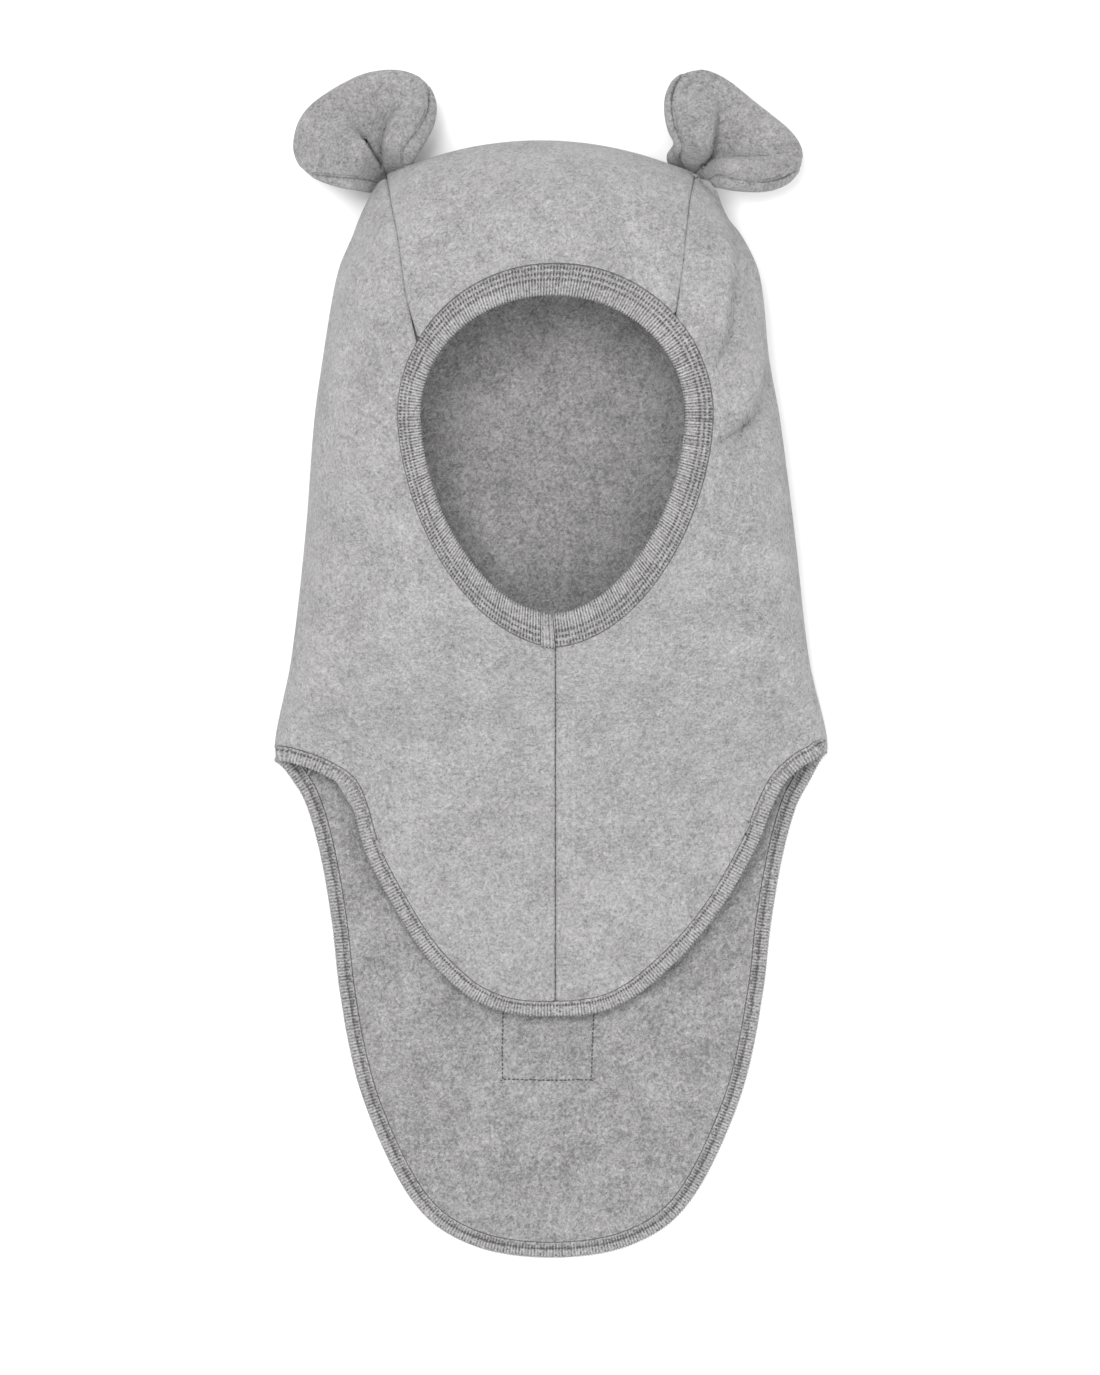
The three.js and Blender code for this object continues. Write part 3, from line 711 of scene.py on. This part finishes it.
def lap_relief(share, in_front, wave):
    edge = np.clip((share - 0.85) / 0.15, 0, 1) ** 2
    # The second value is painted shading: lighter ribs, with painted shade at the edge.
    return 0.25 * wave - 0.9 * edge, 0.2 * wave - 0.3 * edge


lap_angles = np.linspace(*[face_angle(LAP[end], False) for end in ("left", "right")], RIB * LAP_RIBS + 1)
lap_inner, lap_outer = (upper(*face_edge(edge, lap_angles).T) for edge in (FACE_INNER, FACE_OUTER))
lap_outer += 0.04 * (lap_outer - lap_inner)
lap = hat_piece(
    "face_band_tab", folded_strip(lap_inner, lap_outer, 2.4, 1.4, (20, 6, 20), lap_relief, False),
    ribbing, ["face_band_lap"])

# ---- Hem binding ----
# A narrower strip of the same ribbing binds the whole lower edge, round the bib and the back flap in
# one length, and is coverstitched near its open edges.

HEM_RIBS = 330  # on each side


def hem_edges(hand):
    lines = [hem_line(hand, inward) for inward in (0, HEM)]
    lines = stations(lines, RIB * HEM_RIBS + 1)
    return [turned(*turn_at(line[:, 0], line[:, 1]).T, hand) for line in lines]


def hem_relief(share, in_front, wave):
    ribbed = np.clip((0.62 - share) / 0.1 + 0.5, 0.12, 1) * wave
    sewn = dots(share, 0.72, wave, 0.055)
    valley = np.exp(-(((share - 0.56) / 0.06) ** 2)) * (1 - in_front)
    edge = np.clip((share - 0.9) / 0.06, 0, 1)
    # The second value is painted shading: lighter ribs, with painted shade in the stitch dashes, the inner
    # valley and at the edge.
    height = 0.26 * ribbed - 0.4 * sewn - 0.4 * valley - 0.25 * edge
    return height, 0.22 * ribbed - 1.0 * sewn - 0.4 * valley - 0.95 * edge


left_hem, right_hem = hem_edges(1), hem_edges(-1)
hem_outer, hem_inner = (np.concatenate([left, right[1:-1][::-1]])
                        for left, right in zip(left_hem, right_hem))
hem_binding = hat_piece("hem_binding_strip",
                        folded_strip(hem_outer, hem_inner, 1.5, 0.95, (9, 4, 8), hem_relief, True),
                        ribbing, ["hem_binding"])

# ---- Label stitching ----
# A row of lockstitch in dark grey thread on the inside of the back flap, round three sides of the
# place where a label would be sewn. The place itself is bare.

LABEL = [(-20.2, -142), (-20.6, -160), (-20.4, -173.6), (-19.4, -174), (-2, -174.4), (16, -174.2),
         (16.8, -173.4), (17.2, -160), (18, -142)]
THREAD = {"pitch": 1.8, "length": 1.55, "radius": 0.32, "sides": 8, "rings": 9}


def stitches(line, thread):
    """Dashes of thread along a line, each dipping into the cloth at both ends."""
    length = np.linalg.norm(np.diff(line, axis=0), axis=1).sum()
    starts = np.arange(0, length - thread["length"], thread["pitch"])
    long = thread["length"] * rng.uniform(0.75, 1.2, len(starts))
    bow = np.sin(np.linspace(0, np.pi, thread["rings"]))
    angles = np.arange(thread["sides"]) * 2 * np.pi / thread["sides"]
    points, faces = [], []
    for number, (start, run) in enumerate(zip(starts, long)):
        shares = (start + run * np.linspace(0, 1, thread["rings"])) / length
        path = at_shares(line, shares)
        way = unit(path[-1] - path[0])
        side = unit(np.cross([0, 0, 1], way))
        path = path + np.outer(0.45 * bow - 0.22, [0, 0, 1]) + side * rng.uniform(-0.12, 0.12)
        thick = thread["radius"] * (0.35 + 0.65 * bow)[:, None, None]
        round_it = np.cos(angles)[:, None] * side + np.sin(angles)[:, None] * np.cross(way, side)
        points.append((path[:, None] + thick * round_it[None]).reshape(-1, 3))
        index = np.arange(thread["rings"] * thread["sides"]).reshape(thread["rings"], -1)
        index = np.concatenate([index, index[:, :1]], 1) + number * index.size
        faces += cells(index).tolist() + [index[0, :-1].tolist(), index[-1, -2::-1].tolist()]
    points = np.concatenate(points)
    return points, faces, np.zeros(len(points))


label_line = lower(*at_shares(line_through(LABEL), np.linspace(0, 1, 300)).T)
label_line[:, 2] += FLEECE / 2 + 0.1
thread = Finish("dark_grey_thread", 0.6, 0.1, 0.4)
twist = thread.noise(0.6, 2)
thread.connect(thread.shader.inputs["Base Color"],
               thread.shade((0.03, 0.029, 0.03), (0.11, 0.107, 0.109), twist))
label_stitching = hat_piece("label_stitching", stitches(label_line, THREAD), thread)

# ---- Chin seam stitches ----
# The lockstitches that join the side panels under the chin show as short dark dashes down in the seam.
# They run on up the band, beside the lap, where they close its edge.

chin_y = np.linspace(FACE_LEVEL - FACE_INNER["below"] - 1.5, -141, 240)
beside_lap = chin_y > FACE_LEVEL - FACE_OUTER["below"] - 0.5
chin_line = upper(np.where(beside_lap, LAP["left"] + 0.35, CHIN_SEAM), chin_y)
chin_line[:, 2] += np.where(beside_lap, 1.9, FLEECE / 2 - 0.75)
chin_stitches = hat_piece(
    "chin_seam_stitches", stitches(chin_line, dict(THREAD, pitch=2.5, length=2.1, radius=0.2)),
    thread)

# ---- Ears ----
# Each ear is a round front and a round back of fleece, sewn together, turned out and pinched into a
# fold at its root, which is caught in the seam beside the crown. The seam runs just inside the rim.

# The outline in plan and, for each of its points, how far inside it the seam lies, in front or, below 0,
# behind. The hollow of an ear is to the left of both its lips, each given by its line, how sharp it is
# and how far from the root it stays so. What is to the right of "behind" is folded down behind.
EARS = {
    "left": {
        "root": (58.5, 203), "turn": -1,
        "outline": [(60, 202), (54.5, 205), (49.5, 208.5), (48.3, 212.5), (51, 217.5), (48.5, 224),
                    (47.3, 232), (48.3, 240), (52.5, 246.2), (60.8, 249), (67.6, 247.8), (75.2, 243.6),
                    (84.3, 236.4), (93.3, 229.2), (100.1, 223.2), (104.4, 217), (105.2, 211),
                    (103.4, 205.8), (99, 201.2), (91.5, 198.2), (82.7, 197.5), (75.2, 198), (68.5, 199.5),
                    (64, 201), (60, 202)],
        "seam": [-2, 2.5, 5.5, 6, 3.6, 4, 4, 3.4, 2, -1, -4, -4, -4, -4, -4, -3, -1, 2, 4, 5, 5.4, 5.4,
                 4.5, 0, -2],
        "lips": [
            {"line": [(68.2, 256), (68.4, 245), (68.8, 235.3), (68.4, 229.2), (67.2, 220.9), (65.7, 213.3),
                      (62.3, 209.6), (58, 204)], "sharp": 1.6, "crisp": 29},
            {"line": [(58, 203), (63, 207.5), (67.6, 210), (71.4, 211), (79.7, 211.5), (88, 212),
                      (96, 213), (112, 215)], "sharp": 4.5, "crisp": 60},
        ],
        "behind": [(44, 229), (49.8, 219), (52.8, 213), (55.5, 209), (60, 203)],
    },
    "right": {
        "root": (-68, 202), "turn": 1,
        "outline": [(-63, 202.5), (-59, 207), (-56, 212.5), (-52, 219), (-49, 226), (-48, 233.5),
                    (-50, 240.5), (-54, 245.2), (-60.5, 248.2), (-68, 249), (-77, 247.8), (-85, 244.6),
                    (-93, 240), (-101, 234), (-106, 227), (-108, 219), (-107.5, 213), (-104.5, 207.5),
                    (-98.5, 203), (-90, 199.6), (-82, 198), (-75, 197.4), (-69, 199), (-63, 202.5)],
        "seam": [-2, 3.5, 6.5, 6.8, 5.8, 4.2, 2, -1, -4, -4, -4, -4, -4, -4, -4, -4, -3, -1, 2.6, 4.6, 5.2,
                 5, 1, -2],
        "lips": [
            {"line": [(-116, 248), (-104, 240), (-92, 234), (-84.8, 226.4), (-79, 218.9), (-74.3, 211.7),
                      (-69.5, 205), (-67, 201)], "sharp": 1.1, "crisp": 19},
            {"line": [(-67.5, 202), (-69.3, 207), (-70.2, 213.4), (-69.6, 219.7), (-67.3, 227.3),
                      (-63, 236), (-58, 254)], "sharp": 3, "crisp": 24},
        ],
    },
}
EAR = {"root": 8.5, "body": 15, "half": 4.8, "fold": 15}  # heights, and half the thickness
EAR_RADIUS = 27
EAR_CELLS = 92
EAR_SQUARENESS = 1.4  # how much flatter the ear is than a lens, with a rounder rim
LIP_STEPS = 80
BEHIND = {"drop": 5, "sharp": 4 / 3}


def squared(wave):
    """A sine or cosine with broader crests."""
    return np.sign(wave) * np.abs(wave) ** (1 / EAR_SQUARENESS)


# The way round a section from the middle of the front to the middle of the back, by its length.
round_ear = np.linspace(0, 1, 400)
section = np.column_stack([EAR_RADIUS * squared(np.sin(np.pi * round_ear)),
                           EAR["half"] * squared(np.cos(np.pi * round_ear))])
section_length = np.concatenate([[0], np.cumsum(np.linalg.norm(np.diff(section, axis=0), axis=1))])
front_half = len(round_ear) // 2


def side_of(line, points):
    return beside(at_shares(line_through(line), np.linspace(0, 1, LIP_STEPS)), points)[0]


def ear_layer(ear, is_front):
    """The front or the back of an ear: half of a pillow, bent over the hollow and down to the root."""
    knots = np.linspace(0, 1, len(ear["outline"]))
    outline = line_through(ear["outline"])
    outline = np.column_stack([outline, smooth(np.linspace(0, 1, len(outline)), knots, ear["seam"])])
    centre = outline[:-1, :2].mean(0)

    def surface(reach, share):
        """Points at a share of the way round and from the middle to the seam."""
        spot = at_shares(outline, share.ravel() % 1)
        radius = np.linalg.norm(spot[:, :2] - centre, axis=1)
        inset = np.maximum(np.abs(spot[:, 2]) - FLEECE / 2, 0) / radius
        on_section = np.interp(EAR_RADIUS * (1 - inset), section[:front_half, 0],
                               section_length[:front_half])
        seam = np.where(spot[:, 2] > 0, on_section, section_length[-1] - on_section)
        seam = seam + (TUCK + 0.12) * (-1 if is_front else 1)
        begin = 0 if is_front else section_length[-1]
        turn = np.interp(begin + reach.ravel() * (seam - begin), section_length, round_ear)
        pull = 0.28 * np.exp(-(((1 - reach.ravel()) / 0.055) ** 2))  # of the thread, beside the seam
        out = squared(np.sin(np.pi * turn)) * (1 - FLEECE / 2 / radius)
        plan = centre + (spot[:, :2] - centre) * out[:, None]
        away = np.linalg.norm(plan - ear["root"], axis=1)
        inside = []
        for lip in ear["lips"]:
            sharp = lip["sharp"] + 0.6 * np.clip(away - lip["crisp"], 0, None)
            inside.append(past(-side_of(lip["line"], plan), sharp))
        level = EAR["root"] + (EAR["body"] - EAR["root"]) * smooth(away, [0, 8, 20, 40], [0, 0.3, 0.8, 1])
        level = level + EAR["fold"] * smooth(away, [0, 3, 8, 16, 34, 46], [0, 0.2, 0.62, 1, 0.35, 0]) * (
            1 - inside[0] * inside[1])
        if "behind" in ear:
            level = level - BEHIND["drop"] * past(side_of(ear["behind"], plan), BEHIND["sharp"])
        half = smooth(away, [0, 6, 18], [1.45, 2.2, EAR["half"]]) - FLEECE / 2 + 0.1
        lift = squared(np.cos(np.pi * turn))
        return np.column_stack([plan, np.maximum(level + half * lift * (1 - pull), FLEECE / 2)])

    s, t = np.meshgrid(*[np.linspace(-1, 1, EAR_CELLS)] * 2)
    s, t = s * np.sqrt(1 - t**2 / 2), t * np.sqrt(1 - s**2 / 2)
    reach, share = np.hypot(s, t), np.arctan2(t, s) / (2 * np.pi)
    grid = surface(reach, share)
    outward = surface(reach + 0.01, share) - grid
    onward = surface(reach, share + 0.003) - surface(reach, share - 0.003)
    normals = unit(np.cross(onward, outward)).reshape(EAR_CELLS, EAR_CELLS, 3)
    outside = -ear["turn"] if is_front else ear["turn"]
    # The turned-in edges round the ear get shading 3: painted shade of the seam groove, where the pile is
    # also pressed.
    return wall(grid.reshape(EAR_CELLS, EAR_CELLS, 3), (1, 1, 1, 1), outside, 1.2, normals=normals,
                seam_groove_shade=3.0)


# A darker copy of the same fleece: painted shade for the ears.
ear_fleece_shaded_darker = brushed_fleece("brushed_fleece_shaded_for_ears", (0.1, 0.098, 0.099), (0.4, 0.392, 0.395))
for side, ear in EARS.items():
    for layer, is_front in (("front", True), ("back", False)):
        piece = hat_piece(f"ear_{side}_{layer}_cloth", ear_layer(ear, is_front), ear_fleece_shaded_darker,
                          [f"ear_{side}_{layer}"])

# ---- Floor, light and camera ----
# The hat lies on a plain white table under a broad soft light from above, seen from straight over it.
# Lengths in this section are in metres.

TABLE = 4  # half the width of the table
tabletop = bpy.data.meshes.new("floor")
tabletop.from_pydata([(x * TABLE, y * TABLE, 0) for x, y in ((-1, -1), (1, -1), (1, 1), (-1, 1))], [],
                     [(0, 1, 2, 3)])
floor_finish = Finish("white_table", 0.9, 0, 0.5)
floor_finish.connect(floor_finish.shader.inputs["Base Color"], floor_finish.shade(
    (0.93, 0.93, 0.93), (0.96, 0.96, 0.96), floor_finish.noise(40)))
tabletop.materials.append(floor_finish.material)
floor = bpy.data.objects.new("floor", tabletop)
bpy.context.scene.collection.objects.link(floor)

world = bpy.data.worlds.new("white_room")
world.use_nodes = True
world.node_tree.nodes["Background"].inputs["Color"].default_value = (1, 1, 1, 1)
world.node_tree.nodes["Background"].inputs["Strength"].default_value = 0.74
bpy.context.scene.world = world

for name, spot, size, power in (("key_softbox", (-0.45, 0.6, 2.2), 0.9, 36),
                                ("fill_softbox", (0.5, -0.6, 2.2), 1.4, 26)):
    lamp = bpy.data.lights.new(name, "AREA")
    lamp.size, lamp.energy = size, power
    softbox = bpy.data.objects.new(name, lamp)
    softbox.location = spot
    softbox.rotation_euler = (-Vector(spot)).to_track_quat("-Z", "Y").to_euler()
    bpy.context.scene.collection.objects.link(softbox)

view_height = 5.0
view_length = 0.5775  # of the table, up the picture
camera_data = bpy.data.cameras.new("camera")
camera_data.sensor_width = 36
camera_data.lens = camera_data.sensor_width * view_height / view_length
camera = bpy.data.objects.new("camera", camera_data)
camera.location = (-0.0004, -0.0094, view_height)
bpy.context.scene.collection.objects.link(camera)
bpy.context.scene.camera = camera
bpy.context.scene.view_settings.view_transform = "Standard"
